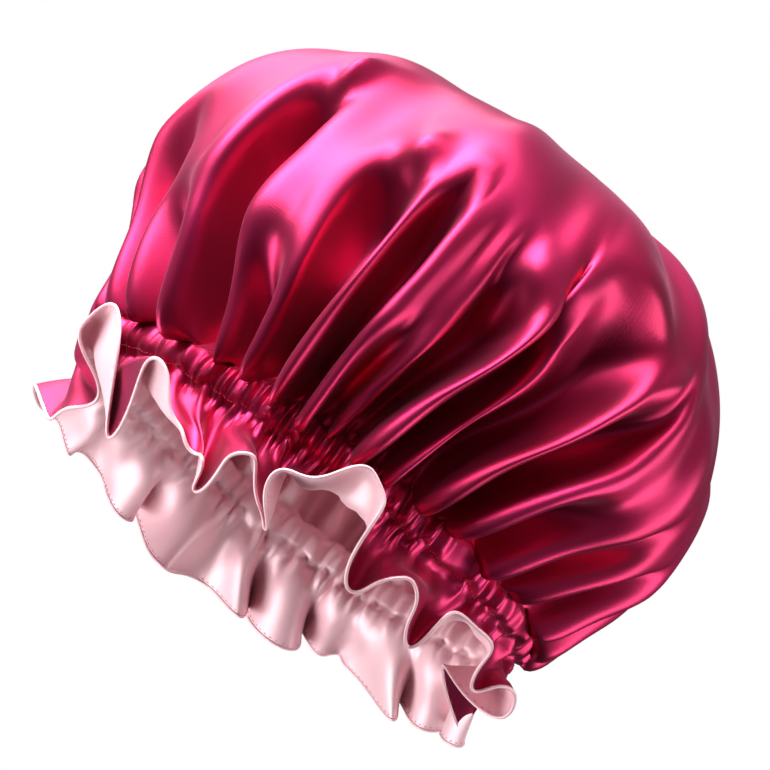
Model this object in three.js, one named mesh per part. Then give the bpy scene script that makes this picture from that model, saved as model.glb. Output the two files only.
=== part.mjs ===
// A reversible satin sleep bonnet, held open as on a head: a puffed crown of two cloth layers, drawn in by a
// flat elastic in a sewn casing, with a wide two-layer ruffle below it.
// Millimetres, +Z up. The origin is the middle of the oval opening, at half the elastic's height.
// X runs along the opening's long axis. Angles go round the opening from -Y (0 degrees) towards +X (90).
import * as THREE from "three";

// Driving sizes
const OPENING_LENGTH = 192; // along X, at the elastic
const OPENING_WIDTH = 168; // along Y, at the elastic
const CROWN_LENGTH = 240; // of the puffed shape, which the folds stand out of
const CROWN_WIDTH = 218;
const CROWN_HEIGHT = 150; // from the origin to the top of the crown
const WIDEST_HEIGHT = 70; // from the origin to where the crown is widest
const CROWN_SQUARENESS = 2.35; // exponent of the crown's upper outline, 2 is an ellipse
const CROWN_SWELL = 0.8; // exponent of the crown's lower outline, less swells out sooner
const CASING_HEIGHT = 11;
const RUFFLE_LENGTH = 41; // from the casing's lower seam to the hem
const CLOTH = 1.1; // one layer of satin
const LAYER_GAP = 0.5; // between the two layers, outside the casing
const ELASTIC_HEIGHT = 8;
const ELASTIC_THICKNESS = 1;
const ELASTIC_CLEARANCE = 0.45; // from the elastic to the cloth on either side
const ELASTIC_SEGMENTS = 48;
const FOLD_DEPTH = 7; // a full fold of the crown stands this far out of the puffed shape, or into it
const FOLD_START = 20; // height above the casing over which the folds open out
const PLEAT_DEPTH = 1.8; // of the small pleats that the elastic draws the casing into
const EVEN_START = -86; // angle of the first gather's cloth at the apex, where the cloth spreads evenly
const EVENING = 0.4; // share of the crown's outline from which the cloth evens out
const RIDGE_SHARPNESS = 1.5; // exponent of a gather's wave, more makes ridges narrower than hollows
const RIDGE_FADE = 0.5; // share of a ridge's reach from which it dies away
const HOLLOW_FADE = 0.75; // the same for a hollow, which ends sooner, under a rim
const RIM_WIDTH = 0.035; // of the rim over a hollow, as a share of the outline
const RIM_OUT = 0.45; // the rim's height as a share of the hollow's depth
const RIM_FROM = 0.2; // hollows that reach less far than this have no rim
const RIM_FULL = 0.35;
const LOBE_START = 0.15; // share of the outline over which the lobes set in
const RUFFLE_TURN = 0.25; // share of the ruffle's length over which it turns to its flare

const table = (columns, rows) =>
  rows.map((row) => Object.fromEntries(columns.split(" ").map((name, i) => [name, row[i]])));

// The crown's gathers, a row for each ridge and the hollow to its right. at is the ridge's angle at the
// casing and crest its angle at lean, the share of the crown's outline where it has done leaning. out and in
// are shares of FOLD_DEPTH, ridge and hollow how far up they reach, as shares of the outline.
const FOLDS = table("at crest lean out ridge in hollow", [
  [-81, -90, 0.3, 0.6, 0.4, 0.72, 0.3],
  [-69, -78, 0.3, 0.8, 0.44, 0.96, 0.34],
  [-57, -65, 0.25, 0.9, 0.3, 1.92, 0.27],
  [-43, -51, 0.25, 1.05, 0.5, 1.7, 0.48],
  [-31.5, -41, 0.3, 0.5, 0.4, 0.98, 0.36],
  [-23, -28, 0.3, 0.56, 0.2, 1.68, 0.42],
  [-15.5, -14, 0.3, 0.5, 0.4, 0.4, 0.36],
  [-9.5, -5, 0.3, 0.48, 0.46, 0.8, 0.37],
  [-3.5, 5, 0.3, 0.4, 0.2, 1, 0.4],
  [3, 13, 0.3, 0.95, 0.42, 0.9, 0.36],
  [11, 20, 0.3, 0.64, 0.38, 0.85, 0.44],
  [19.5, 38, 0.42, 0.96, 0.46, 0.9, 0.38],
  [28, 46, 0.35, 0.8, 0.34, 0.9, 0.26],
  [40, 57, 0.3, 0.6, 0.5, 0.63, 0.26],
  [53, 70, 0.3, 0.4, 0.24, 1.33, 0.25],
  [67, 82, 0.3, 0.8, 0.4, 0.56, 0.3],
  [82, 93, 0.3, 0.6, 0.26, 0.72, 0.26],
  [98, 105, 0.3, 0.9, 0.44, 0.8, 0.4],
  [115, 119, 0.25, 0.7, 0.3, 1.52, 0.34],
  [131, 135, 0.3, 1.1, 0.48, 0.96, 0.42],
  [144, 146, 0.25, 0.6, 0.26, 1.2, 0.24],
  [155, 157, 0.3, 0.9, 0.3, 1.6, 0.44],
  [166, 168, 0.3, 0.7, 0.44, 0.88, 0.32],
  [177, 178, 0.25, 1, 0.34, 1.12, 0.24],
  [188, 191, 0.3, 0.7, 0.26, 1.68, 0.42],
  [199, 201, 0.3, 1, 0.46, 0.8, 0.28],
  [210, 213, 0.25, 0.6, 0.3, 1.36, 0.38],
  [221, 224, 0.3, 1, 0.4, 0.96, 0.24],
  [232, 235, 0.25, 0.7, 0.26, 1.52, 0.42],
  [243, 245, 0.3, 0.8, 0.44, 0.8, 0.3],
  [255, 255, 0.3, 0.7, 0.3, 1.04, 0.24],
  [267, 263, 0.3, 0.9, 0.4, 1.12, 0.36],
]);

// The ruffle's waves: its crests, hollows and flanks. at is the angle of each at the casing. flare is how far
// it rises from straight down and heading which way it flares, both in degrees.
const WAVES = table("at flare heading", [
  [-110, 67, -150],
  [-104, 47, -20],
  [-97, 50, 18],
  [-92, 68, 24],
  [-87, 80, 0],
  [-82, 98, -7],
  [-76, 110, 1],
  [-70, 74, 15],
  [-64, 50, 30],
  [-59, 66, 20],
  [-54, 82, 16],
  [-48, 68, 24],
  [-42, 60, 35],
  [-35, 54, 35],
  [-30, 42, 35],
  [-25, 24, 47],
  [-21, 52, 13],
  [-18, 64, 13],
  [-14, 48, 19],
  [-9, 32, 34],
  [-5, 56, -6],
  [0, 78, -6],
  [6, 98, 5],
  [12, 80, 5],
  [17, 34, 4],
  [23, 52, -1],
  [29, 64, -3],
  [35, 52, -6],
  [41, 36, -13],
  [47, 64, -15],
  [54, 74, -7],
  [61, 72, -2],
  [68, 48, -6],
  [77, 68, 9],
  [86, 44, 13],
  [94, 11, 88],
  [102, 51, 148],
  [111, 41, 162],
  [119, 60, 150],
  [127, 40, 146],
  [133, 48, 152],
  [138, 43, 142],
  [145, 50, 158],
  [152, 58, 170],
  [158, 56, 172],
  [163, 56, 170],
  [167, 46, 157],
  [173, 40, 164],
  [179, 45, 165],
  [183, 39, 151],
  [189, 33, 163],
  [196, 23, 176],
  [203, 33, 186],
  [209, 49, 187],
  [214, 47, 180],
  [221, 50, 186],
  [228, 60, 192],
  [235, 56, 194],
  [242, 62, 199],
]);

// Broad lobes and dents of the puffed crown: at is the angle, up the share of the outline, wide in degrees
// and tall in shares of the outline say how far it spreads, and out is a share of FOLD_DEPTH.
const LOBES = table("at up wide tall out", [
  [118, 0.42, 26, 0.16, 1.4],
  [78, 0.5, 16, 0.14, -0.9],
  [62, 0.22, 24, 0.16, 0.7],
  [-70, 0.5, 22, 0.16, 0.6],
  [-95, 0.12, 24, 0.16, -0.9],
  [-135, 0.45, 26, 0.2, 0.9],
  [165, 0.5, 24, 0.2, -0.7],
  [0, 0.52, 30, 0.14, 0.7],
  [-48, 0.6, 8, 0.12, 0.5],
]);

// Rows of points from the casing up to the crown's apex, and from the casing down to the ruffle's hem. share
// is of the outline or of the ruffle's length, perFold the points for each gather.
const CROWN_ROWS = table("share perFold", [
  [0.04, 4],
  [0.1, 4],
  [0.18, 4],
  [0.28, 4],
  [0.39, 2],
  [0.5, 2],
  [0.62, 1],
  [0.75, 1],
  [0.89, 1],
]);
const RUFFLE_ROWS = table("share", [[0.3], [0.65], [1]]);

const SATIN_CRIMSON = { color: 0xb01048, roughness: 0.32, metalness: 0 };
const SATIN_PINK = { color: 0xf0b6bf, roughness: 0.36, metalness: 0 };
const ELASTIC_WHITE = { color: 0xe8e4e0, roughness: 0.85, metalness: 0 };

// Each gather has four samples: its ridge, its hollow and the two flanks.
const SAMPLES_PER_FOLD = 4;
const OUTLINE_STEPS = 60; // below the widest height, and as many above it
const PROBE = 0.01; // share of the outline, or angle in radians, over which the surface's slope is read
const SHARPEST = 0.8; // a layer stands off a sharp bend by at most its own distance over this
const RUFFLE_STEPS = 12;
const ROUND = 360;
const rad = THREE.MathUtils.degToRad;
const { lerp, smoothstep, euclideanModulo } = THREE.MathUtils;

// The value of one table column at a place round the opening, where 1.5 is half way from row 1 to row 2.
function around(rows, column, place, turn = 0) {
  const row = Math.floor(place);
  const value = (i) => rows[euclideanModulo(i, rows.length)][column] + turn * Math.floor(i / rows.length);
  const [a, b, c, d] = [-1, 0, 1, 2].map((step) => value(row + step));
  const f = place - row;
  return b + 0.5 * f * (c - a + f * (2 * a - 5 * b + 4 * c - d + f * (3 * (b - c) + d - a)));
}

// The crown's outline from the top of the casing to the apex, as shares of the half sizes.
function outline() {
  const foot = CASING_HEIGHT / 2;
  const points = [];
  for (let i = 0; i <= OUTLINE_STEPS; i++) {
    const share = i / OUTLINE_STEPS;
    const spread = Math.sin((share * Math.PI) / 2) ** CROWN_SWELL;
    points.push({ spread, shrink: 1, z: lerp(foot, WIDEST_HEIGHT, share) });
  }
  for (let i = 1; i <= OUTLINE_STEPS; i++) {
    const turn = ((i / OUTLINE_STEPS) * Math.PI) / 2;
    const power = 2 / CROWN_SQUARENESS;
    points.push({
      spread: 1,
      shrink: Math.max(Math.cos(turn), 0) ** power,
      z: WIDEST_HEIGHT + (CROWN_HEIGHT - WIDEST_HEIGHT) * Math.sin(turn) ** power,
    });
  }
  let length = 0;
  points.forEach((p, i) => {
    const before = points[Math.max(i - 1, 0)];
    const half = (point) => halfSize(OPENING_LENGTH, CROWN_LENGTH, point);
    length += Math.hypot(half(p) - half(before), p.z - before.z);
    p.length = length;
  });
  return points;
}

const halfSize = (opening, crown, p) => (lerp(opening, crown, p.spread) / 2) * p.shrink;
const OUTLINE = outline();
const OUTLINE_LENGTH = OUTLINE.at(-1).length;

// The outline's point at a share of its length.
function outlineAt(share) {
  const length = THREE.MathUtils.clamp(share, 0, 1) * OUTLINE_LENGTH;
  let i = OUTLINE.findIndex((p) => p.length >= length);
  i = Math.max(i, 1);
  const [a, b] = [OUTLINE[i - 1], OUTLINE[i]];
  const f = (length - a.length) / (b.length - a.length);
  return { spread: lerp(a.spread, b.spread, f), shrink: lerp(a.shrink, b.shrink, f), z: lerp(a.z, b.z, f) };
}

function puffed(angle, share) {
  const p = outlineAt(share);
  return new THREE.Vector3(
    halfSize(OPENING_LENGTH, CROWN_LENGTH, p) * Math.sin(angle),
    -halfSize(OPENING_WIDTH, CROWN_WIDTH, p) * Math.cos(angle),
    p.z,
  );
}

// How far the folds and lobes lift the cloth out of the puffed shape.
function lift(place, share, degrees) {
  const height = share * OUTLINE_LENGTH;
  const start = smoothstep(height, -FOLD_START / 2, FOLD_START);
  const fade = (reach, from) => 1 - smoothstep(share, from * reach, reach);
  const row = Math.floor(place);
  const fold = (i) => FOLDS[euclideanModulo(i, FOLDS.length)];
  const nearer = place - row < 0.5 ? fold(row) : fold(row + 1);
  const { in: depth, hollow } = fold(row);
  const ridge = ((1 + Math.cos(2 * Math.PI * (place - row))) / 2) ** RIDGE_SHARPNESS;
  const rimAt = Math.exp(-(((share - hollow) / RIM_WIDTH) ** 2)) * smoothstep(hollow, RIM_FROM, RIM_FULL);
  const sunk = depth * (fade(hollow, HOLLOW_FADE) - RIM_OUT * rimAt);
  const folded = ridge * nearer.out * fade(nearer.ridge, RIDGE_FADE) - (1 - ridge) * sunk;
  let lobes = 0;
  for (const lobe of LOBES) {
    const turn = (euclideanModulo(degrees - lobe.at + ROUND / 2, ROUND) - ROUND / 2) / lobe.wide;
    lobes += lobe.out * Math.exp(-turn * turn - ((share - lobe.up) / lobe.tall) ** 2);
  }
  return FOLD_DEPTH * (start * folded + lobes * smoothstep(share, 0, LOBE_START));
}

// A point of the crown's middle surface. The gathers lean from their place at the casing to their crest.
function crownPoint(place, share) {
  const lean = smoothstep(share, 0, around(FOLDS, "lean", place));
  const gathered = lerp(around(FOLDS, "at", place, ROUND), around(FOLDS, "crest", place, ROUND), lean);
  const even = EVEN_START + (ROUND * place) / FOLDS.length;
  const degrees = lerp(gathered, even, smoothstep(share, EVENING, 1));
  const angle = rad(degrees);
  const here = puffed(angle, share);
  const along = puffed(angle, Math.min(share + PROBE, 1)).sub(puffed(angle, Math.max(share - PROBE, 0)));
  const across = puffed(angle + PROBE, share).sub(puffed(angle - PROBE, share));
  const outwards = across.cross(along);
  if (outwards.length() < Number.EPSILON) outwards.set(0, 0, 1);
  return here.addScaledVector(outwards.normalize(), lift(place, share, degrees));
}

// A point of the casing, which runs straight down from the crown's foot.
function casingPoint(place, height) {
  const angle = rad(around(FOLDS, "at", place, ROUND));
  const [long, wide] = [OPENING_LENGTH / 2, OPENING_WIDTH / 2];
  return new THREE.Vector3(long * Math.sin(angle), -wide * Math.cos(angle), height);
}

// The place in the table of waves that an angle falls on.
function waveAt(degrees) {
  const turned = euclideanModulo(degrees - WAVES[0].at, ROUND);
  const startOf = (i) => (i < WAVES.length ? WAVES[i].at : WAVES[0].at + ROUND) - WAVES[0].at;
  const i = WAVES.findIndex((_, row) => startOf(row + 1) > turned);
  return i + (turned - startOf(i)) / (startOf(i + 1) - startOf(i));
}

// A point of the ruffle's middle surface, at a share of its length below the casing.
function rufflePoint(place, share) {
  const wave = waveAt(around(FOLDS, "at", place, ROUND));
  const flare = rad(around(WAVES, "flare", wave));
  const heading = rad(around(WAVES, "heading", wave, ROUND));
  const towards = new THREE.Vector3(Math.sin(heading), -Math.cos(heading), 0);
  const point = casingPoint(place, -CASING_HEIGHT / 2);
  const step = (RUFFLE_LENGTH * share) / RUFFLE_STEPS;
  for (let i = 0; i < RUFFLE_STEPS; i++) {
    const middle = ((i + 0.5) / RUFFLE_STEPS) * share;
    const turned = flare * smoothstep(middle, 0, RUFFLE_TURN);
    point.addScaledVector(towards, Math.sin(turned) * step);
    point.z -= Math.cos(turned) * step;
  }
  return point;
}

// A ring of places round the opening, with a point of the middle surface at each and how far the cloth's
// nearer face stands off it.
function ring(perFold, pointAt, standOff) {
  const places = Array.from({ length: FOLDS.length * perFold }, (_, i) => i / perFold);
  return { places, points: places.map(pointAt), offs: places.map(standOff) };
}

// The elastic draws the casing into two pleats for each gather.
const pleat = (place) => (PLEAT_DEPTH * (1 + Math.cos(4 * Math.PI * place))) / 2;
const besideElastic = (place) => ELASTIC_THICKNESS / 2 + ELASTIC_CLEARANCE + pleat(place);

// Triangles between two rings, which may differ in how many places they have.
function strip(lower, upper, first, second) {
  const faces = [];
  const [n, m] = [lower.places.length, upper.places.length];
  const place = (r, i) => r.places[i % r.places.length] + (i >= r.places.length ? FOLDS.length : 0);
  for (let i = 0, j = 0; i < n || j < m; ) {
    if (j >= m || (i < n && place(lower, i + 1) <= place(upper, j + 1))) {
      faces.push([first + (i % n), first + ((i + 1) % n), second + (j % m)]);
      i += 1;
    } else {
      faces.push([first + (i % n), second + ((j + 1) % m), second + (j % m)]);
      j += 1;
    }
  }
  return faces;
}

// The middle surface, from the ruffle's hem up to the crown's apex.
function middleSurface() {
  const rings = [];
  for (const { share } of [...RUFFLE_ROWS].reverse()) {
    rings.push(ring(SAMPLES_PER_FOLD, (p) => rufflePoint(p, share), () => LAYER_GAP / 2));
  }
  for (const end of [-1, 1]) {
    rings.push(ring(SAMPLES_PER_FOLD, (p) => casingPoint(p, (end * CASING_HEIGHT) / 2), besideElastic));
  }
  for (const { share, perFold } of CROWN_ROWS) {
    rings.push(ring(perFold, (p) => crownPoint(p, share), () => LAYER_GAP / 2));
  }
  const starts = rings.map((_, i) => rings.slice(0, i).reduce((sum, r) => sum + r.points.length, 0));
  const faces = rings.slice(1).flatMap((r, i) => strip(rings[i], r, starts[i], starts[i + 1]));
  const points = rings.flatMap((r) => r.points);
  const offs = rings.flatMap((r) => r.offs);
  const last = rings.at(-1).points.length;
  for (let i = 0; i < last; i++) {
    faces.push([starts.at(-1) + i, starts.at(-1) + ((i + 1) % last), points.length]);
  }
  points.push(crownPoint(0, 1));
  offs.push(LAYER_GAP / 2);
  return { points, offs, faces, hem: rings[0].points.length };
}

// The way out of the surface at each of its points, longer where it bends sharply so that a layer of cloth
// keeps its thickness there.
function waysOut({ points, faces }) {
  const normals = points.map(() => []);
  for (const face of faces) {
    const [a, b, c] = face.map((i) => points[i]);
    const normal = b.clone().sub(a).cross(c.clone().sub(a));
    face.forEach((i) => normals[i].push(normal));
  }
  return normals.map((list) => {
    const mean = list.reduce((sum, n) => sum.add(n), new THREE.Vector3()).normalize();
    const facing = list.reduce((sum, n) => sum + n.clone().normalize().dot(mean), 0) / list.length;
    return mean.divideScalar(Math.max(facing, SHARPEST));
  });
}

// One layer of cloth, on the outside of the middle surface (side 1) or its inside (side -1).
function layer(surface, side) {
  const out = waysOut(surface);
  const face = (depth) =>
    surface.points.map((p, i) => p.clone().addScaledVector(out[i], side * (surface.offs[i] + depth)));
  const [outer, inner] = side > 0 ? [face(CLOTH), face(0)] : [face(0), face(CLOTH)];
  const count = surface.points.length;
  const index = surface.faces.flatMap(([a, b, c]) => [a, b, c, count + a, count + c, count + b]);
  for (let a = 0; a < surface.hem; a++) {
    const b = (a + 1) % surface.hem;
    index.push(b, a, count + a, b, count + a, count + b);
  }
  const geometry = new THREE.BufferGeometry();
  const positions = [...outer, ...inner].flatMap((p) => p.toArray());
  geometry.setAttribute("position", new THREE.Float32BufferAttribute(positions, 3));
  geometry.setIndex(index);
  geometry.computeVertexNormals();
  return geometry;
}

function piece(name, geometry, finish) {
  const mesh = new THREE.Mesh(geometry, new THREE.MeshStandardMaterial(finish));
  mesh.name = name;
  return mesh;
}

function elasticBand() {
  const [long, wide] = [OPENING_LENGTH / 2, OPENING_WIDTH / 2];
  const shape = new THREE.Shape();
  shape.absellipse(0, 0, long + ELASTIC_THICKNESS / 2, wide + ELASTIC_THICKNESS / 2, 0, 2 * Math.PI);
  const hole = new THREE.Path();
  hole.absellipse(0, 0, long - ELASTIC_THICKNESS / 2, wide - ELASTIC_THICKNESS / 2, 0, 2 * Math.PI);
  shape.holes.push(hole);
  const settings = { depth: ELASTIC_HEIGHT, bevelEnabled: false, curveSegments: ELASTIC_SEGMENTS };
  const geometry = new THREE.ExtrudeGeometry(shape, settings);
  return geometry.translate(0, 0, -ELASTIC_HEIGHT / 2);
}

const surface = middleSurface();
const bonnet = new THREE.Group();
bonnet.name = "sleep_bonnet";
bonnet.add(piece("outer_satin", layer(surface, 1), SATIN_CRIMSON));
bonnet.add(piece("lining_satin", layer(surface, -1), SATIN_PINK));
bonnet.add(piece("elastic", elasticBand(), ELASTIC_WHITE));

export default bonnet;
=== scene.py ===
# A reversible satin sleep bonnet, held open as on a head. Every piece is worked out in millimetres, in the
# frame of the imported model, and becomes a mesh in metres.
import math

import bpy
import numpy as np
from mathutils import Matrix, Vector


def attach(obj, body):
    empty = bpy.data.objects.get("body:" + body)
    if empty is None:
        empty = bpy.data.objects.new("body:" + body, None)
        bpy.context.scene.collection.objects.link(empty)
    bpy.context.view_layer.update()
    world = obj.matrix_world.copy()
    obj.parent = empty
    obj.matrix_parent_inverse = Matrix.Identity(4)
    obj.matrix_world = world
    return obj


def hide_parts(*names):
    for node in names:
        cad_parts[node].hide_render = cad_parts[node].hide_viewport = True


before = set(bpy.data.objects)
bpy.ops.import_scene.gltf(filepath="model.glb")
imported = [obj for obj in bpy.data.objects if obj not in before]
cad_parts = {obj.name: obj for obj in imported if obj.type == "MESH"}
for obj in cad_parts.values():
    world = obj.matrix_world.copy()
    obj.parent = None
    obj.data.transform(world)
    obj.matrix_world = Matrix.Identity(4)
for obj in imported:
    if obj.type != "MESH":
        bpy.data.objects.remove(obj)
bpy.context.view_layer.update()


MM = 0.001
RNG = np.random.default_rng(11)

# Sizes of the puffed shape, which the folds stand out of
OPENING_LENGTH = 192.0  # along X, at the elastic
OPENING_WIDTH = 168.0  # along Y, at the elastic
CROWN_LENGTH = 240.0
CROWN_WIDTH = 218.0
CROWN_HEIGHT = 150.0  # from the origin to the top of the crown
WIDEST_HEIGHT = 70.0  # from the origin to where the crown is widest
CROWN_SQUARENESS = 2.35  # exponent of the crown's upper outline, 2 is an ellipse
CROWN_SWELL = 0.8  # exponent of the crown's lower outline, less swells out sooner
CASING_HEIGHT = 11.0
RUFFLE_LENGTH = 41.0  # from the casing's lower seam to the hem
OUTLINE_STEPS = 400  # below the widest height, and as many above it

# Folds, lobes and ruffle. Shares of the outline run from 0 at the casing to 1 at the apex
FOLD_DEPTH = 7.0  # a full fold stands this far out of the puffed shape, or into it
FOLD_START = 20.0  # distance above the casing at which the folds have their full depth
RIDGE_SHARPNESS = 1.1  # exponent of a gather's wave, more makes ridges narrower than hollows
RIDGE_FADE = 0.5  # share of a ridge's reach from which it dies away
HOLLOW_FADE = 0.75  # the same for a hollow, which ends more suddenly, under a rim
RIM_WIDTH = 0.035  # half the width of that rim, as a share of the outline
RIM_OUT = 0.45  # the rim's height as a share of the hollow's depth
RIM_FROM, RIM_FULL = 0.1, 0.3  # a hollow that reaches only so far has no rim, or a full one
LOBE_START = 0.15  # share of the outline over which the lobes set in
EVEN_START = -86.0  # angle of the first gather's cloth at the apex, where the cloth spreads evenly
EVENING = 0.4  # share of the outline from which the cloth evens out
DROOP = 11.0  # how far a gather's cloth hangs down over the casing
DROOP_REACH = 0.035  # share of the outline at which it hangs down most
RUFFLE_TURN = 0.25  # share of the ruffle's length over which it turns to its flare
RUFFLE_STEPS = 12
PROBE = 0.01  # how far to either side the surface's slope is read, as a share or as an angle in radians


def table(columns, rows):
    """Named columns of numbers, from rows that hold one number for each."""
    return {name: np.array([row[i] for row in rows], float) for i, name in enumerate(columns.split())}


# The crown's gathers. Each has its angle at the casing and where it has done leaning, the share at which it
# has, how far its ridge stands out and up to which share, and the same for the hollow to its right
FOLDS = table("at crest lean out ridge in hollow", [
    (-81, -90, 0.3, 0.6, 0.4, 0.9, 0.3),
    (-69, -78, 0.3, 0.8, 0.44, 1.2, 0.34),
    (-57, -67, 0.25, 0.9, 0.24, 1.4, 0.22),
    (-43, -48, 0.25, 1.6, 0.52, 2.8, 0.5),
    (-31.5, -40, 0.3, 0.5, 0.4, 1.2, 0.2),
    (-23, -25, 0.3, 0.9, 0.42, 2.6, 0.42),
    (-16, -14, 0.3, 1.5, 0.43, 1.9, 0.42),
    (-9.5, -6, 0.3, 0.9, 0.46, 1.0, 0.18),
    (-3.5, 3, 0.3, 0.4, 0.2, 2.2, 0.36),
    (3, 13, 0.3, 1.4, 0.42, 1.8, 0.36),
    (11, 19, 0.3, 0.6, 0.3, 2.0, 0.46),
    (19.5, 38, 0.42, 1.2, 0.46, 1.8, 0.38),
    (28, 46, 0.35, 1.1, 0.36, 1.2, 0.2),
    (40, 57, 0.3, 0.6, 0.5, 0.9, 0.26),
    (53, 70, 0.3, 0.6, 0.24, 1.9, 0.2),
    (67, 82, 0.3, 0.5, 0.3, 0.5, 0.22),
    (82, 93, 0.3, 0.5, 0.22, 0.7, 0.22),
    (98, 105, 0.3, 0.7, 0.4, 0.8, 0.34),
    (115, 119, 0.25, 0.7, 0.3, 1.9, 0.34),
    (131, 135, 0.3, 1.1, 0.48, 1.2, 0.42),
    (144, 146, 0.25, 0.6, 0.26, 1.5, 0.24),
    (155, 157, 0.3, 0.9, 0.3, 2, 0.44),
    (166, 168, 0.3, 0.7, 0.44, 1.1, 0.32),
    (177, 178, 0.25, 1, 0.34, 1.4, 0.24),
    (188, 191, 0.3, 0.7, 0.26, 2.1, 0.42),
    (199, 201, 0.3, 1, 0.46, 1, 0.28),
    (210, 213, 0.25, 0.6, 0.3, 1.7, 0.38),
    (221, 224, 0.3, 1, 0.4, 1.2, 0.24),
    (232, 235, 0.25, 0.7, 0.26, 1.9, 0.42),
    (243, 245, 0.3, 0.8, 0.44, 1, 0.3),
    (255, 255, 0.3, 0.7, 0.3, 1.3, 0.24),
    (267, 263, 0.3, 0.9, 0.4, 1.4, 0.36),
])

# The ruffle's waves: where each crest, hollow or flank is, how far it flares from straight down and which
# way, all in degrees
WAVES = table("at flare heading", [
    (-113, 62, -146),
    (-108.5, 36, -100),
    (-104, 38, -3),
    (-97, 50, 15),
    (-92, 66, 24),
    (-87, 80, 3),
    (-82, 98, -7),
    (-76, 110, 1),
    (-70, 74, 17),
    (-64, 38, 64),
    (-59, 64, 26),
    (-54, 92, 14),
    (-48, 72, 26),
    (-42, 60, 35),
    (-35, 54, 35),
    (-30, 42, 35),
    (-25, 24, 47),
    (-21, 52, 13),
    (-18, 64, 13),
    (-14, 48, 19),
    (-9, 32, 34),
    (-5, 56, -6),
    (0, 78, -6),
    (6, 98, 5),
    (12, 80, 5),
    (17, 34, 4),
    (23, 52, -1),
    (29, 64, -3),
    (35, 52, -6),
    (41, 36, -13),
    (47, 64, -15),
    (54, 74, -7),
    (61, 72, -2),
    (68, 48, -6),
    (77, 68, 9),
    (86, 46, 7),
    (94, 52, -92),
    (102, 46, -206),
    (111, 38, -196),
    (119, 64, -211),
    (127, 36, -216),
    (133, 58, -191),
    (138, 34, -241),
    (145, 52, -191),
    (152, 62, -189),
    (158, 52, -192),
    (163, 62, -179),
    (167, 46, -216),
    (173, 30, -194),
    (179, 58, -181),
    (183, 30, -230),
    (189, 44, -187),
    (196, 10, -188),
    (203, 32, -171),
    (209, 58, -167),
    (214, 42, -189),
    (221, 50, -173),
    (228, 62, -168),
    (235, 54, -166),
    (242, 62, -158),
])

# Broad lobes and dents of the crown: angle and share, half width and half height, and how far out
LOBES = table("at up wide tall out", [
    (118, 0.42, 26, 0.16, 1.4),
    (78, 0.5, 16, 0.14, -0.9),
    (62, 0.22, 24, 0.16, 0.7),
    (-70, 0.5, 22, 0.16, 0.6),
    (-95, 0.12, 24, 0.16, -0.9),
    (-135, 0.45, 26, 0.2, 0.9),
    (165, 0.5, 24, 0.2, -0.7),
    (0, 0.52, 30, 0.14, 0.7),
    (-27, 0.5, 7, 0.1, -0.5),
    (-8, 0.56, 6, 0.12, 0.45),
    (6, 0.5, 5, 0.1, -0.45),
    (22, 0.52, 8, 0.1, 0.5),
    (38, 0.58, 6, 0.14, -0.5),
    (48, 0.56, 5, 0.16, 0.55),
    (-48, 0.6, 8, 0.12, 0.5),
    (-21, 0.175, 6, 0.035, 0.6),
    (-2, 0.17, 6, 0.035, 0.6),
    (8, 0.15, 5, 0.05, -0.3),
    (-37, 0.22, 6, 0.05, 0.5),
])
FOLD_COUNT = len(FOLDS["at"])

# Near the casing each gather splits in two, some more than others, and joins again between these shares
SPLITS = RNG.uniform(0.05, 0.55, FOLD_COUNT)
SPLIT_FROM = 0.07
SPLIT_TO = 0.2


def smooth(x, start, end):
    t = np.clip((x - start) / (end - start), 0, 1)
    return t * t * (3 - 2 * t)


def length_of(vectors):
    return np.linalg.norm(vectors, axis=-1)


def unit(vectors, least=1e-9):
    return vectors / np.maximum(length_of(vectors), least)[..., None]


def curve(a, b, c, d, f):
    """The smooth curve from b at f = 0 to c at f = 1, with a before them and d after."""
    return b + 0.5 * f * (c - a + f * (2 * a - 5 * b + 4 * c - d + f * (3 * (b - c) + d - a)))


def around(values, place, turn=0.0):
    """A table column at a place round the opening, on a smooth curve through its rows."""
    row = np.floor(place).astype(int)
    f = place - row

    def value(i):
        return values[np.mod(i, len(values))] + turn * np.floor_divide(i, len(values))

    return curve(value(row - 1), value(row), value(row + 1), value(row + 2), f)


def crown_outline():
    """The crown's outline from the casing to the apex: how far its half sizes have spread and shrunk, its
    height, and its length so far."""
    t = np.linspace(0, 1, OUTLINE_STEPS)
    turn = t[1:] * np.pi / 2
    power = 2 / CROWN_SQUARENESS
    foot = CASING_HEIGHT / 2
    spread = np.concatenate([np.sin(t * np.pi / 2) ** CROWN_SWELL, np.ones_like(turn)])
    shrink = np.concatenate([np.ones_like(t), np.maximum(np.cos(turn), 0) ** power])
    height = np.concatenate([
        foot + (WIDEST_HEIGHT - foot) * t,
        WIDEST_HEIGHT + (CROWN_HEIGHT - WIDEST_HEIGHT) * np.sin(turn) ** power,
    ])
    half = (OPENING_LENGTH + (CROWN_LENGTH - OPENING_LENGTH) * spread) / 2 * shrink
    length = np.concatenate([[0], np.cumsum(np.hypot(np.diff(half), np.diff(height)))])
    return spread, shrink, height, length


SPREAD, SHRINK, HEIGHT, LENGTH = crown_outline()
OUTLINE_LENGTH = LENGTH[-1]


def puffed(angle, share):
    """The crown's surface without folds."""
    at = np.clip(share, 0, 1) * OUTLINE_LENGTH
    spread, shrink, height = (np.interp(at, LENGTH, column) for column in (SPREAD, SHRINK, HEIGHT))
    half_x = (OPENING_LENGTH + (CROWN_LENGTH - OPENING_LENGTH) * spread) / 2 * shrink
    half_y = (OPENING_WIDTH + (CROWN_WIDTH - OPENING_WIDTH) * spread) / 2 * shrink
    return np.stack([half_x * np.sin(angle), -half_y * np.cos(angle), height + 0 * angle], -1)


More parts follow.
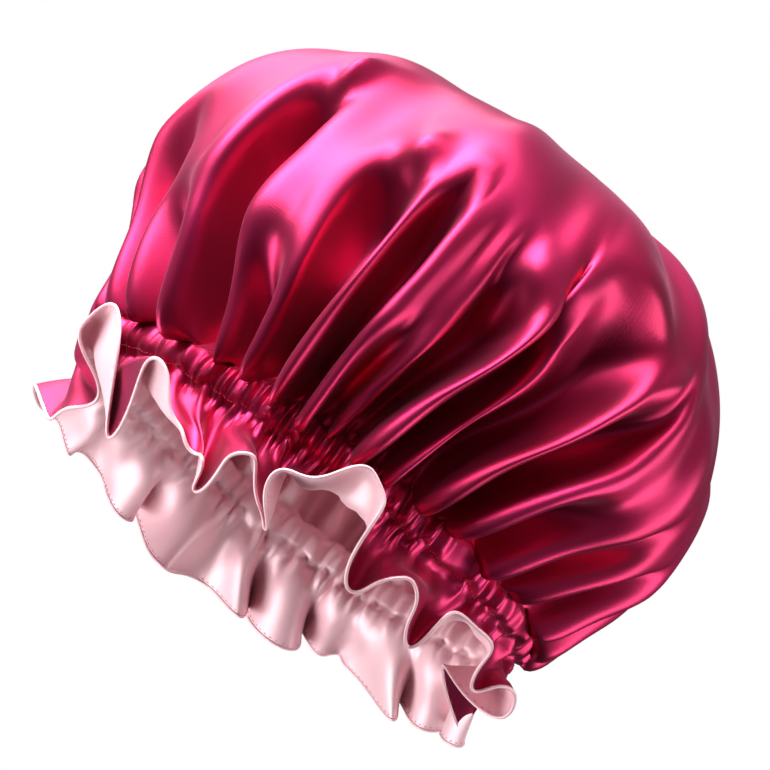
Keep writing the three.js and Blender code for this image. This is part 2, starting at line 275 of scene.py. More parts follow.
def lift(place, share, degrees):
    """How far the folds and lobes lift the cloth out of the puffed shape."""
    row = np.floor(place).astype(int)
    f = place - row
    i, j = np.mod(row, FOLD_COUNT), np.mod(row + 1, FOLD_COUNT)
    nearer = np.where(f < 0.5, i, j)
    ridge = ((1 + np.cos(2 * np.pi * f)) / 2) ** RIDGE_SHARPNESS

    def fade(reach, start):
        return 1 - smooth(share / reach, start, 1)

    depth, reach = FOLDS["in"][i], FOLDS["hollow"][i]
    over_hollow = np.exp(-(((share - reach) / RIM_WIDTH) ** 2))
    rim = RIM_OUT * depth * over_hollow * smooth(reach, RIM_FROM, RIM_FULL)
    folded = ridge * FOLDS["out"][nearer] * fade(FOLDS["ridge"][nearer], RIDGE_FADE)
    folded = folded - (1 - ridge) * (depth * fade(reach, HOLLOW_FADE) - rim)
    folded = folded * smooth(share * OUTLINE_LENGTH, -FOLD_START / 2, FOLD_START)
    split = SPLITS[i] * np.cos(4 * np.pi * f) * (1 - smooth(share, SPLIT_FROM, SPLIT_TO))
    folded = folded - split * smooth(share, 0, SPLIT_FROM)
    lobes = 0
    for at, up, wide, tall, out in zip(*LOBES.values()):
        turn = (np.mod(degrees - at + 180, 360) - 180) / wide
        lobes = lobes + out * np.exp(-turn**2 - ((share - up) / tall) ** 2)
    return FOLD_DEPTH * (folded + lobes * smooth(share, 0, LOBE_START))


def crown_points(place, share):
    """The crown with its folds and lobes, and with gathers that hang down over the casing."""
    place, share = np.broadcast_arrays(place, share)
    at, crest = around(FOLDS["at"], place, 360), around(FOLDS["crest"], place, 360)
    degrees = at + (crest - at) * smooth(share / around(FOLDS["lean"], place), 0, 1)
    even = EVEN_START + 360 * place / FOLD_COUNT
    degrees = degrees + (even - degrees) * smooth(share, EVENING, 1)
    angle = np.radians(degrees)
    along = puffed(angle, np.minimum(share + PROBE, 1)) - puffed(angle, np.maximum(share - PROBE, 0))
    across = puffed(angle + PROBE, share) - puffed(angle - PROBE, share)
    out = unit(np.cross(across, along))
    points = puffed(angle, share) + out * lift(place, share, degrees)[..., None]
    ridge = (1 + np.cos(2 * np.pi * place)) / 2
    slope = share / DROOP_REACH
    points[..., 2] -= DROOP * ridge * slope * np.exp(1 - slope)
    return points


def casing_points(place, height):
    """The casing, an upright band on the oval of the opening."""
    place, height = np.broadcast_arrays(place, height)
    angle = np.radians(around(FOLDS["at"], place, 360))
    half_x, half_y = OPENING_LENGTH / 2, OPENING_WIDTH / 2
    return np.stack([half_x * np.sin(angle), -half_y * np.cos(angle), height + 0 * angle], -1)


def noise_waves(counts, size):
    """Seeded waves round the opening: how many of each, where they start and how high they are."""
    return [(count, RNG.uniform(0, 2 * np.pi), size * RNG.uniform(0.5, 1)) for count in counts]


FLARE_NOISE = noise_waves((23, 37, 53, 79), 0.04)  # radians
TURN_NOISE = noise_waves((19, 31, 47, 83), 0.03)  # radians
SEAM_NOISE = noise_waves((13, 29, 41, 67), 0.55)  # millimetres


def uneven(degrees, waves):
    """The sum of the seeded waves at an angle."""
    angle = np.radians(degrees)
    return sum(high * np.sin(count * angle + start) for count, start, high in waves)


# Where the ruffle swings from forwards to backwards, its cloth is crushed and loses this share of its length
CRUSHED = table("at wide lost", [
    (-108.5, 3.2, 0.34),
    (94, 4, 0.42),
])


def ruffle_points(place, share):
    """The ruffle from the casing, share 0, to the hem, share 1: straight down first, then at its flare."""
    place, share = np.broadcast_arrays(place, share)
    degrees = around(FOLDS["at"], place, 360)
    starts = np.append(WAVES["at"], WAVES["at"][0] + 360) - WAVES["at"][0]
    wave = np.interp(np.mod(degrees - WAVES["at"][0], 360), starts, np.arange(len(starts)))
    flare = np.radians(around(WAVES["flare"], wave))
    turn = np.radians(around(WAVES["heading"], wave))
    flare = flare + share * uneven(degrees, FLARE_NOISE)
    turn = turn + share * uneven(degrees, TURN_NOISE)
    out = np.stack([np.sin(turn), -np.cos(turn), 0 * turn], -1)
    crushed = 1
    for at, wide, lost in zip(*CRUSHED.values()):
        aside = (np.mod(degrees - at + 180, 360) - 180) / wide
        crushed = crushed - lost * np.exp(-(aside**2))
    point = casing_points(place, -CASING_HEIGHT / 2)
    for n in range(RUFFLE_STEPS):
        turned = flare * smooth((n + 0.5) / RUFFLE_STEPS * share, 0, RUFFLE_TURN)
        length = RUFFLE_LENGTH * share / RUFFLE_STEPS * crushed
        point = point + out * (np.sin(turned) * length)[..., None]
        point[..., 2] -= np.cos(turned) * length
    return point


# The sheet is a grid: a row of points for each distance from the hem, and a column for each place round the
# opening
COARSE_PER_FOLD = 10
RUFFLE_ROWS = 11
CROWN_ROWS = 44
ROW_SPREAD = 1.2  # exponent of the crown rows' shares, more puts more rows near the casing
LAST_SHARE = 0.985  # of the outline, at the last row, which closes over the apex
CASING_ROWS = np.linspace(-0.5, 0.5, 5) * CASING_HEIGHT
NEAR = 0.01  # rows this near to a seam count as lying on it, in millimetres

# The relaxed sheet gets so many rows and columns for each one, and half the columns from this share upwards
FINER_ROWS = 2
FINER_COLUMNS = 3
FINE_SHARE = 0.42


def first_sheet():
    """The middle surface of the two layers before it relaxes, each row's distance from the middle of the
    flat disc, and how far folds and lobes raise each point, or sink it."""
    place = np.arange(FOLD_COUNT * COARSE_PER_FOLD)[None, :] / COARSE_PER_FOLD
    ruffle_share = np.linspace(1, 0, RUFFLE_ROWS)[:-1, None]
    crown_share = LAST_SHARE * np.linspace(0, 1, CROWN_ROWS + 1)[1:, None] ** ROW_SPREAD
    points = np.concatenate([
        ruffle_points(place, ruffle_share),
        casing_points(place, CASING_ROWS[:, None]),
        crown_points(place, crown_share),
    ])
    radius = np.concatenate([
        OUTLINE_LENGTH + CASING_HEIGHT + ruffle_share[:, 0] * RUFFLE_LENGTH,
        OUTLINE_LENGTH + CASING_HEIGHT / 2 - CASING_ROWS,
        OUTLINE_LENGTH * (1 - crown_share[:, 0]),
    ])
    degrees = around(FOLDS["at"], np.broadcast_arrays(place, crown_share)[0], 360)
    raised = np.zeros(points.shape[:2])
    raised[-CROWN_ROWS:] = np.clip(lift(place, crown_share, degrees) / FOLD_DEPTH, -1, 1)
    return points, radius, raised


# How hard each round pushes the cloth out, and how far it may move in all, in millimetres
FOLD_PUSH = 0.05  # on a full fold
FILL_PUSH = 0.02  # on the upper crown
FILL_FROM, FILL_TO = 0.45, 0.7  # shares of the outline between which that push sets in
SIDE_CAP = 1.8  # sideways, on the crown
RIDGE_CAP = 3.5  # on the crown's ridges and plain cloth
HOLLOW_CAP = 9.0  # in a full hollow of the crown
RUFFLE_CAP = 5.0
RELAX_ROUNDS, QUICK_ROUNDS = 220, 20

# Above the casing the cloth takes up all of its cut width up to the first share, none from the second
GATHERED_TO, EVEN_FROM = 0.34, 0.46
TAKEN_UP_OVER = 16.0  # distance from the casing over which the gathers open out
RUFFLE_FULLNESS = 0.12  # share of the spare width that the ruffle takes up
LEAST_WIDTH = 0.98  # of the width that an edge has at first
WIDTH_ROWS = 0.7, 0.95  # shares, counted from the apex, of the rows that set each column's angle on the disc

# How fully each round mends edges that are too long, edges that are too short, and bends
STRETCH, SQUEEZE, BEND = 1.0, 0.6, 0.8


def normals_of(points):
    across = np.roll(points, -1, 1) - np.roll(points, 1, 1)
    along = np.empty_like(points)
    along[1:-1] = points[2:] - points[:-2]
    along[0] = points[1] - points[0]
    along[-1] = points[-1] - points[-2]
    return unit(np.cross(across, along))


def stiffened(points, axis, closed):
    """The points without the sharpest zigzags between neighbours, as cloth that resists bending lies."""
    def beside(step):
        if closed:
            return np.roll(points, step, axis)
        count = points.shape[axis]
        return np.take(points, np.clip(np.arange(count) - step, 0, count - 1), axis)

    return (10 * points + 4 * (beside(1) + beside(-1)) - beside(2) - beside(-2)) / 16


def pull_together(a, b, rest):
    """How far each end of the edges a to b moves towards the other, to come nearer to the rest length."""
    edge = b - a
    size = np.maximum(length_of(edge), 1e-6)
    error = size - rest
    stiffness = np.where(error > 0, STRETCH, SQUEEZE)
    return edge * (0.5 * stiffness * error / size)[..., None]


def disc_widths(radius, edge):
    """Each column's angle on the flat disc: halfway between its width low on the crown and an even share."""
    low, high = WIDTH_ROWS
    rows = (radius < OUTLINE_LENGTH * high) & (radius > OUTLINE_LENGTH * low)
    width = (edge / radius[:, None])[rows].mean(0)
    width = 0.5 * width + 0.25 * (np.roll(width, 1) + np.roll(width, -1))
    width *= 2 * np.pi / width.sum()
    return 0.5 * width + 0.5 * width.mean()


def relax(points, radius, raised, rounds):
    """Lets the cloth find its own folds: it comes near its cut length both ways and resists bending. Gives
    the points and each column's width on the flat disc."""
    start = points.copy()
    height = np.abs(radius - (OUTLINE_LENGTH + CASING_HEIGHT / 2))
    pinned = height <= CASING_HEIGHT / 2 + NEAR
    free = (~pinned)[:, None, None].astype(float)
    edge = length_of(np.roll(start, -1, 1) - start)
    width = disc_widths(radius, edge)
    cut = radius[:, None] * width[None, :]
    taken_up = smooth(height, CASING_HEIGHT / 2, CASING_HEIGHT / 2 + TAKEN_UP_OVER)[:, None]
    share = np.clip(1 - radius / OUTLINE_LENGTH, 0, 1)[:, None, None]
    taken_up = taken_up * (1 - smooth(share[..., 0], GATHERED_TO, EVEN_FROM))
    taken_up = taken_up * np.where(radius > OUTLINE_LENGTH, RUFFLE_FULLNESS, 1)[:, None]
    rest_across = edge + (np.maximum(cut, edge * LEAST_WIDTH) - edge) * taken_up
    rest_along = length_of(start[1:] - start[:-1])
    crown = (radius < OUTLINE_LENGTH)[:, None, None]
    sideways = unit(np.roll(start, -COARSE_PER_FOLD // 2, 1) - np.roll(start, COARSE_PER_FOLD // 2, 1))
    side_cap = np.where(crown, SIDE_CAP, RUFFLE_CAP)
    filled = FILL_PUSH * smooth(share, FILL_FROM, FILL_TO)
    push = np.where(crown, FOLD_PUSH * raised[..., None] + filled, 0.0)
    sunk = np.clip(-raised, 0, 1)[..., None]
    limit = np.where(crown, RIDGE_CAP + (HOLLOW_CAP - RIDGE_CAP) * sunk, RUFFLE_CAP)
    for _ in range(rounds):
        points = points + normals_of(points) * free * push
        for shift in (0, 1):
            moved = np.roll(points, -shift, 1)
            rest = np.roll(rest_across, -shift, 1)
            pull = pull_together(moved[:, 0::2], moved[:, 1::2], rest[:, 0::2])
            moved[:, 0::2] += pull
            moved[:, 1::2] -= pull
            points = np.roll(moved, shift, 1)
            points = start + (points - start) * free
        for shift in (0, 1):
            low, high = points[shift:-1:2], points[shift + 1::2]
            pull = pull_together(low, high, rest_along[shift::2])
            points[shift:-1:2] += pull * free[shift:-1:2]
            points[shift + 1::2] -= pull * free[shift + 1::2]
        bent = stiffened(stiffened(points, 1, True), 0, False)
        points = points + (bent - points) * BEND * free
        move = points - start
        aside = (move * sideways).sum(-1, keepdims=True)
        move = move + (np.clip(aside, -side_cap, side_cap) - aside) * sideways
        far = length_of(move)[..., None]
        points = start + move * np.minimum(1, limit / np.maximum(far, 1e-6))
    return points, width


def refined(values, factor, axis, closed):
    """Puts new samples between those of a grid, on smooth curves through them."""
    values = np.moveaxis(values, axis, 0)
    count = len(values)
    total = count * factor if closed else (count - 1) * factor + 1
    at = np.arange(total) / factor
    row = np.minimum(np.floor(at).astype(int), count - 1)
    f = (at - row).reshape((-1,) + (1,) * (values.ndim - 1))

    def value(i):
        return values[np.mod(i, count)] if closed else values[np.clip(i, 0, count - 1)]

    between = curve(value(row - 1), value(row), value(row + 1), value(row + 2), f)
    return np.moveaxis(between, 0, axis)


def softened(values, rounds, axis=1):
    """The values of a closed row, each mixed with its neighbours' so many times."""
    for _ in range(rounds):
        values = 0.5 * values + 0.25 * (np.roll(values, 1, axis) + np.roll(values, -1, axis))
    return values


# Layers of cloth, in millimetres
CLOTH_GAP = 0.25  # from the middle surface to either layer
RUFFLE_PUFF = 0.25  # more than that, halfway down the ruffle
ELASTIC_ROOM = 1.0  # more than that, halfway up the casing
PUCKERS, PLEATS = 104, 61  # narrow and broad ones, round the casing
PUCKER_DEPTH, PUCKER_LEAN = 2.8, 0.9
PLEAT_DEPTH, PLEAT_LEAN = 4.4, 1.2
PUCKER_REACH = 6.0  # distance from the casing over which they die away
PLEAT_REACH = 16.0
RUFFLE_PLEAT_REACH = 11.0
SEAM_REACH = 14.0  # height over which the uneven seam pulls the cloth up or down
RUFFLE_EASE_REACH = 16.0  # below the casing, over which the ruffle's cloth eases
RUFFLE_EASE_ROUNDS = 18
EVEN_COLUMNS, EVEN_STEP = 30, 5  # a pleat stands out in the mean direction of these columns to each side

# Beyond the casing a broad pleat starts at this share of its depth and is full so far off
PLEAT_AT_SEAM, PLEAT_FULL_AT = 0.5, 4.0

# In the casing the broad pleats are lower, and all are lower at its seams. The lining's are lower than the
# outer layer's, and so many columns beside them
CASING_PLEAT = 0.5
SEAM_PUCKER = 0.4
LINING_PUCKER, LINING_STEP = 0.6, 5

# The pleats' widths and depths before they are fitted round the casing, and how they lean
WIDTHS = 0.35, 1.65
DEPTHS = 0.1, 1.4
LEAN_SHARE = 0.25
LEAN_OVER = 8.0  # height over which a pleat leans
BLUNTNESS = 0.8  # exponent of a pleat's wave, less makes it blunter


def pleats(columns, height, count, leaning):
    """Uneven little pleats round the casing, from 0 in the dips to about 1 on the tops, leaning upwards."""
    widths = RNG.uniform(*WIDTHS, count)
    edges = np.concatenate([[0], np.cumsum(widths)]) / widths.sum()
    depth = RNG.uniform(*DEPTHS, count) * np.sqrt(widths)
    lean = RNG.uniform(-leaning, leaning, count)
    at = np.arange(columns)[None, :] / columns
    pleat = np.clip(np.searchsorted(edges, at[0], side="right") - 1, 0, count - 1)[None, :]
    phase = (at - edges[pleat]) / (edges[pleat + 1] - edges[pleat])
    rise = np.tanh(height[:, None] / LEAN_OVER)
    bent = phase + lean[pleat] * LEAN_SHARE * np.sin(2 * np.pi * phase) * rise
    return depth[pleat] * (0.5 - 0.5 * np.cos(2 * np.pi * bent)) ** BLUNTNESS


def layered(mid, radius):
    """The outer layer's and the lining's faces, on either side of the middle surface."""
    height = OUTLINE_LENGTH + CASING_HEIGHT / 2 - radius
    around_seam = uneven(np.arange(mid.shape[1]) * 360 / mid.shape[1], SEAM_NOISE)
    mid = mid.copy()
    mid[..., 2] += np.exp(-((height / SEAM_REACH) ** 2))[:, None] * around_seam
    beyond = np.maximum(np.abs(height) - CASING_HEIGHT / 2, 0)
    outside = (beyond > NEAR)[:, None]
    pucker = pleats(mid.shape[1], height, PUCKERS, PUCKER_LEAN)
    pleat = pleats(mid.shape[1], height, PLEATS, PLEAT_LEAN)
    normal = normals_of(mid)
    even = unit(sum(np.roll(normal, step, 1) for step in range(-EVEN_COLUMNS, EVEN_COLUMNS + 1, EVEN_STEP)))
    normal = np.where((height > 0)[:, None, None], even, softened(normal, 2))
    fine = np.exp(-((beyond / PUCKER_REACH) ** 2))[:, None] * (pucker - 0.5) * PUCKER_DEPTH
    reach = np.where(height < 0, RUFFLE_PLEAT_REACH, PLEAT_REACH)
    broad = np.exp(-((beyond / reach) ** 2))[:, None] * (pleat - 0.5) * PLEAT_DEPTH
    broad = broad * (PLEAT_AT_SEAM + (1 - PLEAT_AT_SEAM) * smooth(beyond, 0, PLEAT_FULL_AT))[:, None]
    mid = mid + normal * np.where(outside, fine + broad, 0)[..., None]
    eased = smooth(-height - CASING_HEIGHT / 2, 0, RUFFLE_EASE_REACH)[:, None, None]
    mid = mid + (softened(mid, RUFFLE_EASE_ROUNDS) - mid) * eased
    normal = softened(normals_of(mid), 1)
    channel = np.sqrt(np.clip(1 - (2 * height / CASING_HEIGHT) ** 2, 0, 1))[:, None]
    down = np.clip(-(height + CASING_HEIGHT / 2) / RUFFLE_LENGTH, 0, 1)[:, None]
    apart = CLOTH_GAP + RUFFLE_PUFF * np.sin(np.pi * down) + np.where(outside, 0, ELASTIC_ROOM * channel)
    gathered = np.where(outside, 0, PUCKER_DEPTH * pucker + PLEAT_DEPTH * pleat * CASING_PLEAT)
    gathered = gathered * (SEAM_PUCKER + (1 - SEAM_PUCKER) * channel)
    outer = mid + normal * (apart + gathered)[..., None]
    lining = mid - normal * (apart + LINING_PUCKER * np.roll(gathered, LINING_STEP, 1))[..., None]
    return outer, lining


def linked(name, data):
    """A new object of the scene with this data."""
    piece = bpy.data.objects.new(name, data)
    bpy.context.scene.collection.objects.link(piece)
    return piece


def new_piece(name, verts, faces):
    mesh = bpy.data.meshes.new(name)
    mesh.from_pydata(verts.tolist(), [], faces)
    mesh.shade_smooth()
    return linked(name, mesh)


def grid_mesh(name, points, flat, thinned, inside_out=False):
    """A mesh of the grid, closed over the apex, with the cloth's flat place as its UV map. From the row
    thinned upwards it keeps every other column."""
    rows, columns = points.shape[:2]
    index = np.arange(rows * columns).reshape(rows, columns)
    low, high = index[:thinned + 1], index[thinned + 1:, ::2]

    def quads_of(part):
        right = np.roll(part, -1, 1)
        return np.stack([part[:-1], right[:-1], right[1:], part[1:]], -1).reshape(-1, 4)

    left, middle, right = index[thinned, 0::2], index[thinned, 1::2], np.roll(index[thinned, 0::2], -1)
    above, after = high[0], np.roll(high[0], -1)
    seam = np.concatenate([
        np.stack([left, middle, above], -1),
        np.stack([middle, right, after], -1),
        np.stack([middle, after, above], -1),
    ])
    last = high[-1]
    top = np.stack([last, np.roll(last, -1), np.full(len(last), rows * columns)], -1)
    quads = np.concatenate([quads_of(low), quads_of(high)])
    triangles = np.concatenate([top, seam])
    if inside_out:
        quads, triangles = quads[:, ::-1], triangles[:, ::-1]
    verts = np.concatenate([points.reshape(-1, 3), [points[-1].mean(0)]]) * MM
    places = np.concatenate([flat.reshape(-1, 2), [[0, 0]]]) * MM
    used = np.zeros(len(verts), bool)
    used[quads.ravel()] = True
    used[triangles.ravel()] = True
    number = np.cumsum(used) - 1
    piece = new_piece(name, verts[used], number[quads].tolist() + number[triangles].tolist())
    layer = piece.data.uv_layers.new(name="cloth")
    corners = np.empty(len(piece.data.loops), dtype=np.int32)
    piece.data.loops.foreach_get("vertex_index", corners)
    layer.data.foreach_set("uv", places[used][corners].ravel())
    return piece


def rings_round(side, up, sides):
    """A ring of points of radius 1 for each place of a path, given its sideways and upward directions."""
    turn = np.arange(sides) * 2 * np.pi / sides
    return side[:, None] * np.cos(turn)[None, :, None] + up[:, None] * np.sin(turn)[None, :, None]


def tube_mesh(name, path, thickness, sides=8):
    """A closed tube round a closed path."""
    ahead = unit(np.roll(path, -1, 0) - np.roll(path, 1, 0))
    side = unit(np.cross(ahead, [0, 0, 1.0]), 1e-6)
    points = path[:, None] + rings_round(side, np.cross(side, ahead), sides) * (thickness / 2)
    count = len(path)
    index = np.arange(count * sides).reshape(count, sides)
    after, over = np.roll(index, -1, 0), np.roll(index, -1, 1)
    quads = np.stack([index, after, np.roll(after, -1, 1), over], -1).reshape(-1, 4)
    return new_piece(name, points.reshape(-1, 3) * MM, quads.tolist())


# Hem and stitches. A stitch is so long, as a share of the step from point to point, and so thick
HEM_THICKNESS = 1.3
HEM_STITCH_ROW = 1  # the row next to the hem
HEM_STITCH = 0.9, 0.4
SEAM_STITCH = 1.1, 0.45

# A stitch's rings: how far along it, how high over the cloth and how thick, as shares of its thickness
STITCH_SHAPE = ((0.0, -0.3, 0.7), (0.2, 0.25, 1.0), (0.8, 0.25, 1.0), (1.0, -0.3, 0.7))


def stitches(name, path, out, cover, thickness, sides=5):
    """A row of short threads along a closed path, a stitch for every two of its points."""
    start, reach = path[0::2], (path[1::2] - path[0::2]) * cover
    up = out[0::2]
    ring = rings_round(unit(np.cross(reach, up)), up, sides)
    rings = []
    for along, high, size in STITCH_SHAPE:
        middle = start + reach * along + up * (high * thickness)
        rings.append(middle[:, None] + ring * (thickness / 2 * size))
    points = np.stack(rings, 1)
    count, steps = points.shape[:2]
    index = np.arange(count * steps * sides).reshape(count, steps, sides)
    after = np.roll(index, -1, 2)
    quads = np.stack([index[:, :-1], index[:, 1:], after[:, 1:], after[:, :-1]], -1).reshape(-1, 4)
    ends = np.concatenate([index[:, 0], index[:, -1, ::-1]])
    return new_piece(name, points.reshape(-1, 3) * MM, quads.tolist() + ends.tolist())


# Materials. The satin's scales are for a metre of flat cloth, the plain one's is for the whole of a piece
CLOUD_SCALE, WEAVE_SCALE, GRAIN_SCALE = 14, 420, 1500
CLOUD_STOPS = 0.3, 0.7  # how much cloud gives the deep colour, and how much the bright one
WEAVE_STRENGTH, GRAIN_STRENGTH = 0.08, 0.25
RELIEF = 0.0001  # of weave and grain, in metres
PLAIN_SCALE, PLAIN_DARK = 900, 0.85


def new_material(name):
    material = bpy.data.materials.new(name)
    material.use_nodes = True
    nodes = material.node_tree.nodes
    return material, nodes, material.node_tree.links, nodes["Principled BSDF"]


def set_inputs(node, values):
    for name, value in values.items():
        node.inputs[name].default_value = value


def satin(name, deep, bright, tint, roughness, metallic, sheen, coat):
    """Satin whose colour wanders between deep and bright, with a slanting weave and a grain."""
    material, nodes, links, shader = new_material(name)
    place = nodes.new("ShaderNodeUVMap")
    place.uv_map = "cloth"
    cloud = nodes.new("ShaderNodeTexNoise")
    set_inputs(cloud, {"Scale": CLOUD_SCALE, "Detail": 3})
    colours = nodes.new("ShaderNodeValToRGB")
    for stop, at, colour in zip(colours.color_ramp.elements, CLOUD_STOPS, (deep, bright)):
        stop.position = at
        stop.color = (*colour, 1)
    threads = nodes.new("ShaderNodeTexWave")
    threads.wave_type = "BANDS"
    threads.bands_direction = "DIAGONAL"
    set_inputs(threads, {"Scale": WEAVE_SCALE, "Distortion": 2.0, "Detail": 2.0})
    bump = nodes.new("ShaderNodeBump")
    set_inputs(bump, {"Strength": WEAVE_STRENGTH, "Distance": RELIEF})
    grain = nodes.new("ShaderNodeTexNoise")
    set_inputs(grain, {"Scale": GRAIN_SCALE, "Detail": 2})
    grained = nodes.new("ShaderNodeBump")
    set_inputs(grained, {"Strength": GRAIN_STRENGTH, "Distance": RELIEF})
    for node in (cloud, threads, grain):
        links.new(place.outputs["UV"], node.inputs["Vector"])
    links.new(cloud.outputs["Fac"], colours.inputs["Fac"])
    links.new(colours.outputs["Color"], shader.inputs["Base Color"])
    links.new(threads.outputs["Fac"], bump.inputs["Height"])
    links.new(grain.outputs["Fac"], grained.inputs["Height"])
    links.new(bump.outputs["Normal"], grained.inputs["Normal"])
    links.new(grained.outputs["Normal"], shader.inputs["Normal"])
    set_inputs(shader, {
        "Roughness": roughness,
        "Metallic": metallic,
        "Specular IOR Level": 0.7,
        "Specular Tint": (*tint, 1),
        "Anisotropic": 0.45,
        "Sheen Weight": sheen,
        "Sheen Roughness": 0.4,
        "Sheen Tint": (*tint, 1),
        "Coat Weight": coat,
        "Coat Roughness": 0.4,
        "Coat IOR": 1.5,
    })
    return material


def plain_cloth(name, colour, roughness):
    material, nodes, links, shader = new_material(name)
    noise = nodes.new("ShaderNodeTexNoise")
    mix = nodes.new("ShaderNodeMix")
    mix.data_type = "RGBA"
    set_inputs(noise, {"Scale": PLAIN_SCALE})
    set_inputs(mix, {"A": (*[c * PLAIN_DARK for c in colour], 1), "B": (*colour, 1)})
    set_inputs(shader, {"Roughness": roughness})
    links.new(noise.outputs["Fac"], mix.inputs["Factor"])
    links.new(mix.outputs["Result"], shader.inputs["Base Color"])
    return material


# The photo's view, from a little below the opening's plane and rolled
RISE = math.radians(13.5)
ROLL = math.radians(37)
VIEW_CENTRE = (-1.5, 48.7)  # to the right and upwards from the origin, before the roll
VIEW_WIDTH = 284.9  # of the picture, at the origin's distance
DISTANCE = 1200.0
SENSOR = 36.0
LIT_PLACE = Vector((0, 0, 0.07))  # in metres, the middle of the bonnet, which all lights point at

# The white surround lights the bonnet more from above than from below
SURROUND_TINT = (1, 0.88, 0.93, 1)
SURROUND_FROM = -0.4, 0.005  # how far up the direction points in the picture, and how bright it is there
SURROUND_TO = 1.0, 0.4


def view_axes():
    """Where the camera looks, then its right and up before the roll, then both after it."""
    ahead = Vector((0, math.cos(RISE), math.sin(RISE)))
    level_right, level_up = Vector((1, 0, 0)), Vector((0, -math.sin(RISE), math.cos(RISE)))
    right = level_right * math.cos(ROLL) + level_up * math.sin(ROLL)
    up = level_up * math.cos(ROLL) - level_right * math.sin(ROLL)
    return ahead, level_right, level_up, right, up


def make_camera():
    ahead, level_right, level_up, right, up = view_axes()
    centre = level_right * VIEW_CENTRE[0] + level_up * VIEW_CENTRE[1]
    data = bpy.data.cameras.new("camera")
    data.sensor_width = SENSOR
    data.lens = SENSOR * DISTANCE / VIEW_WIDTH
    data.clip_start = 0.01
    basis = Matrix((right, up, -ahead)).transposed().to_4x4()
    camera = linked("camera", data)
    camera.matrix_world = Matrix.Translation((centre - ahead * DISTANCE) * MM) @ basis
    bpy.context.scene.camera = camera


def area_light(name, direction, distance, size, power):
    data = bpy.data.lights.new(name, "AREA")
    data.shape = "RECTANGLE"
    data.size, data.size_y = size
    data.energy = power
    lamp = linked(name, data)
    lamp.location = LIT_PLACE + direction.normalized() * distance
    lamp.rotation_euler = (-direction).to_track_quat("-Z", "Y").to_euler()


def make_studio():
    """Lamps, each with the direction it shines from, its distance, size and power, and a white surround."""
    ahead, level_right, level_up, right, up = view_axes()
    for name, direction, distance, size, power in (
        ("key", up - ahead * 0.3 - right * 0.1, 1.0, (1.0, 1.0), 29),
        ("back", up + ahead * 0.45 - right * 0.2, 1.1, (1.2, 0.9), 14),
        ("below", -level_up - level_right * 0.5 - ahead * 0.15, 1.0, (0.7, 0.7), 12),
        ("left", -level_right - ahead * 0.12 + level_up * 0.6, 1.2, (0.7, 1.0), 12),
        ("right", level_right - ahead * 0.2 + level_up * 0.1, 1.2, (0.7, 1.2), 13),
    ):
        area_light(name, direction, distance, size, power)
    world = bpy.data.worlds.new("studio")
    bpy.context.scene.world = world
    world.use_nodes = True
    nodes, links = world.node_tree.nodes, world.node_tree.links
    seen, lighting = nodes["Background"], nodes.new("ShaderNodeBackground")
    seen.inputs["Color"].default_value = (1, 1, 1, 1)
    place = nodes.new("ShaderNodeTexCoord")
    height = nodes.new("ShaderNodeVectorMath")
    height.operation = "DOT_PRODUCT"
    height.inputs[1].default_value = up
    links.new(place.outputs["Generated"], height.inputs[0])
    dome = nodes.new("ShaderNodeMapRange")
    for end, values in (("Min", SURROUND_FROM), ("Max", SURROUND_TO)):
        for side, value in zip(("From", "To"), values):
            dome.inputs[f"{side} {end}"].default_value = value
    links.new(height.outputs["Value"], dome.inputs["Value"])
    links.new(dome.outputs["Result"], lighting.inputs["Strength"])
    lighting.inputs["Color"].default_value = SURROUND_TINT
    path, mix = nodes.new("ShaderNodeLightPath"), nodes.new("ShaderNodeMixShader")
    links.new(path.outputs["Is Camera Ray"], mix.inputs["Fac"])
    links.new(lighting.outputs["Background"], mix.inputs[1])
    links.new(seen.outputs["Background"], mix.inputs[2])
    links.new(mix.outputs["Shader"], nodes["World Output"].inputs["Surface"])
    bpy.context.scene.view_settings.view_transform = "Standard"


make_camera()
make_studio()

mid, radius, raised = first_sheet()
mid, width = relax(mid, radius, raised, RELAX_ROUNDS)
mid = refined(refined(mid, FINER_ROWS, 0, False), FINER_COLUMNS, 1, True)
radius = refined(radius, FINER_ROWS, 0, False)
thinned = int(np.argmax(radius < OUTLINE_LENGTH * (1 - FINE_SHARE)))
angles = np.concatenate([[0], np.cumsum(np.repeat(width, FINER_COLUMNS) / FINER_COLUMNS)[:-1]])
flat = radius[:, None, None] * np.stack([np.cos(angles), np.sin(angles)], -1)[None]
outer_points, lining_points = layered(mid, radius)

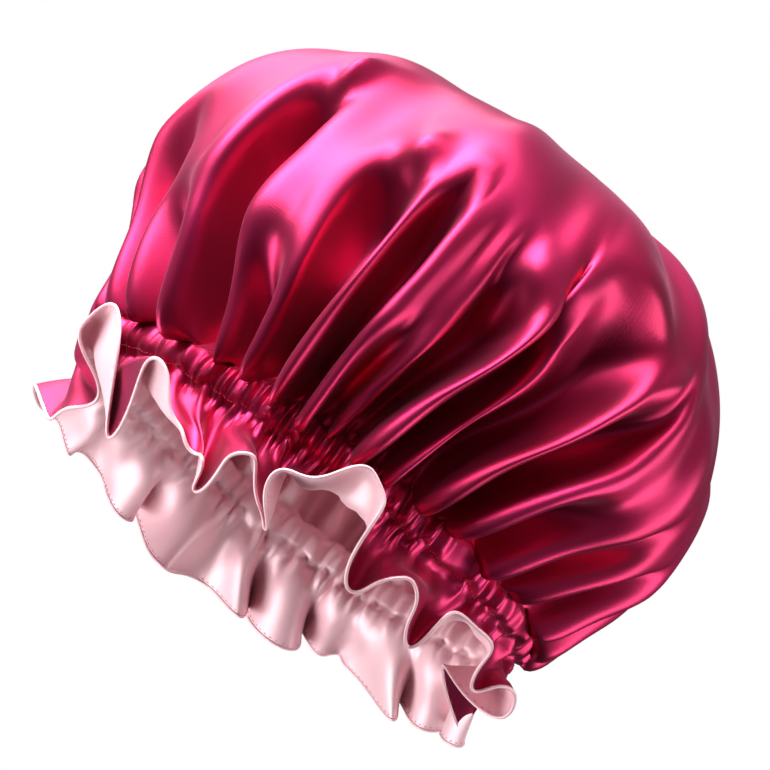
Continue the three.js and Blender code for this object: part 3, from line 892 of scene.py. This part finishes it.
CRIMSON = satin(
    "crimson_satin", deep=(0.38, 0.002, 0.05), bright=(0.5, 0.01, 0.1), tint=(1.0, 0.58, 0.8),
    roughness=0.4, metallic=0.85, sheen=0.1, coat=0.3,
)
PINK = satin(
    "pink_satin", deep=(0.82, 0.46, 0.52), bright=(0.95, 0.62, 0.67), tint=(1.0, 0.86, 0.9),
    roughness=0.42, metallic=0.1, sheen=0.2, coat=0.1,
)

outer = grid_mesh("outer_cloth", outer_points, flat, thinned)
outer.data.materials.append(CRIMSON)
lining = grid_mesh("lining_cloth", lining_points, flat, thinned, inside_out=True)
lining.data.materials.append(PINK)
hem = tube_mesh("hem_edge", (outer_points[0] + lining_points[0]) / 2, HEM_THICKNESS)
hem.data.materials.append(PINK)

# Rows of stitches: the hem's on both faces, and the casing's two seams
OUTER_FACE = outer_points, normals_of(outer_points)
LINING_FACE = lining_points, -normals_of(lining_points)
LOWER_SEAM_ROW = (RUFFLE_ROWS - 1) * FINER_ROWS
UPPER_SEAM_ROW = LOWER_SEAM_ROW + (len(CASING_ROWS) - 1) * FINER_ROWS
threads = [
    stitches(name, points[row], out[row], cover, thickness)
    for name, (points, out), row, (cover, thickness) in (
        ("hem_stitches", OUTER_FACE, HEM_STITCH_ROW, HEM_STITCH),
        ("lining_stitches", LINING_FACE, HEM_STITCH_ROW, HEM_STITCH),
        ("lower_seam", OUTER_FACE, LOWER_SEAM_ROW, SEAM_STITCH),
        ("upper_seam", OUTER_FACE, UPPER_SEAM_ROW, SEAM_STITCH),
    )
]
THREAD = plain_cloth("crimson_thread", (0.42, 0.008, 0.07), 0.5)
PALE_THREAD = plain_cloth("pink_thread", (0.85, 0.55, 0.6), 0.5)
for piece in threads:
    lining_side = piece.name == "lining_stitches"
    piece.data.materials.append(PALE_THREAD if lining_side else THREAD)
    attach(piece, "root")

for piece, node in ((outer, "outer_satin"), (lining, "lining_satin")):
    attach(piece, "root")
    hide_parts(node)
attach(hem, "root")
for node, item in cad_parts.items():
    if node == "elastic":
        item.data.materials.clear()
        item.data.materials.append(plain_cloth("white_elastic", (0.8, 0.78, 0.76), 0.85))
